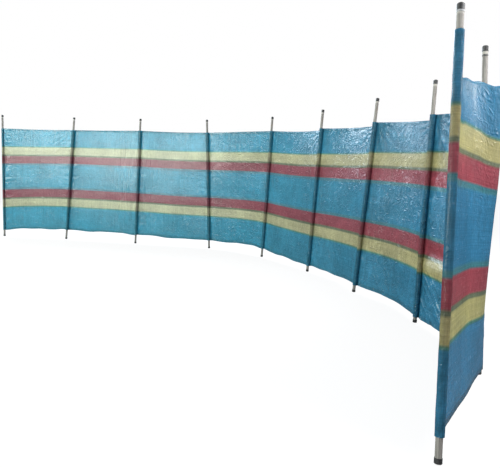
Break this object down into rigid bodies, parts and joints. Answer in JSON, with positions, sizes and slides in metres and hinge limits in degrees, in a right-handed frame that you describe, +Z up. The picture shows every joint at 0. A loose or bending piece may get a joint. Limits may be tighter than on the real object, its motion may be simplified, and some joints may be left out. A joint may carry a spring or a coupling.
{
  "type": "beach windbreak",
  "caption": "Striped beach windbreak: capped wooden poles stand in the pockets of one long cloth, which runs on in bays and curls round at one end.",
  "frame": {"origin": "centre of the flat foot of the pole at the straight end", "axes": "+X along the foot line of the straight bays, from the end pole towards the curl, +Z up along that end pole, +Y to the outside of the curl"},
  "size_m": [3.8348, 3.5366, 1.2001],
  "materials": {
    "pole_wood": "bare pine dowel, weathered grey-brown",
    "cap_plastic": "moulded black polyethylene",
    "cloth": "woven polyethylene in blue, yellow and red stripes, laminated and glossy"
  },
  "bodies": {
    "root": {"pole_01": "pole_wood", "end_caps_01": "cap_plastic", "pocket_01": "cloth", "pole_02": "pole_wood", "end_caps_02": "cap_plastic", "pocket_02": "cloth", "pole_03": "pole_wood", "end_caps_03": "cap_plastic", "pocket_03": "cloth", "pole_04": "pole_wood", "end_caps_04": "cap_plastic", "pocket_04": "cloth", "pole_05": "pole_wood", "end_caps_05": "cap_plastic", "pocket_05": "cloth", "pole_06": "pole_wood", "end_caps_06": "cap_plastic", "pocket_06": "cloth", "pole_07": "pole_wood", "end_caps_07": "cap_plastic", "pocket_07": "cloth", "pole_08": "pole_wood", "end_caps_08": "cap_plastic", "pocket_08": "cloth", "pole_09": "pole_wood", "end_caps_09": "cap_plastic", "pocket_09": "cloth", "pole_10": "pole_wood", "end_caps_10": "cap_plastic", "pocket_10": "cloth", "bay_1": "cloth", "bay_2": "cloth", "bay_3": "cloth", "bay_4": "cloth", "bay_5": "cloth", "bay_6": "cloth", "bay_7": "cloth", "bay_8": "cloth", "bay_9": "cloth"}
  },
  "joints": []
}
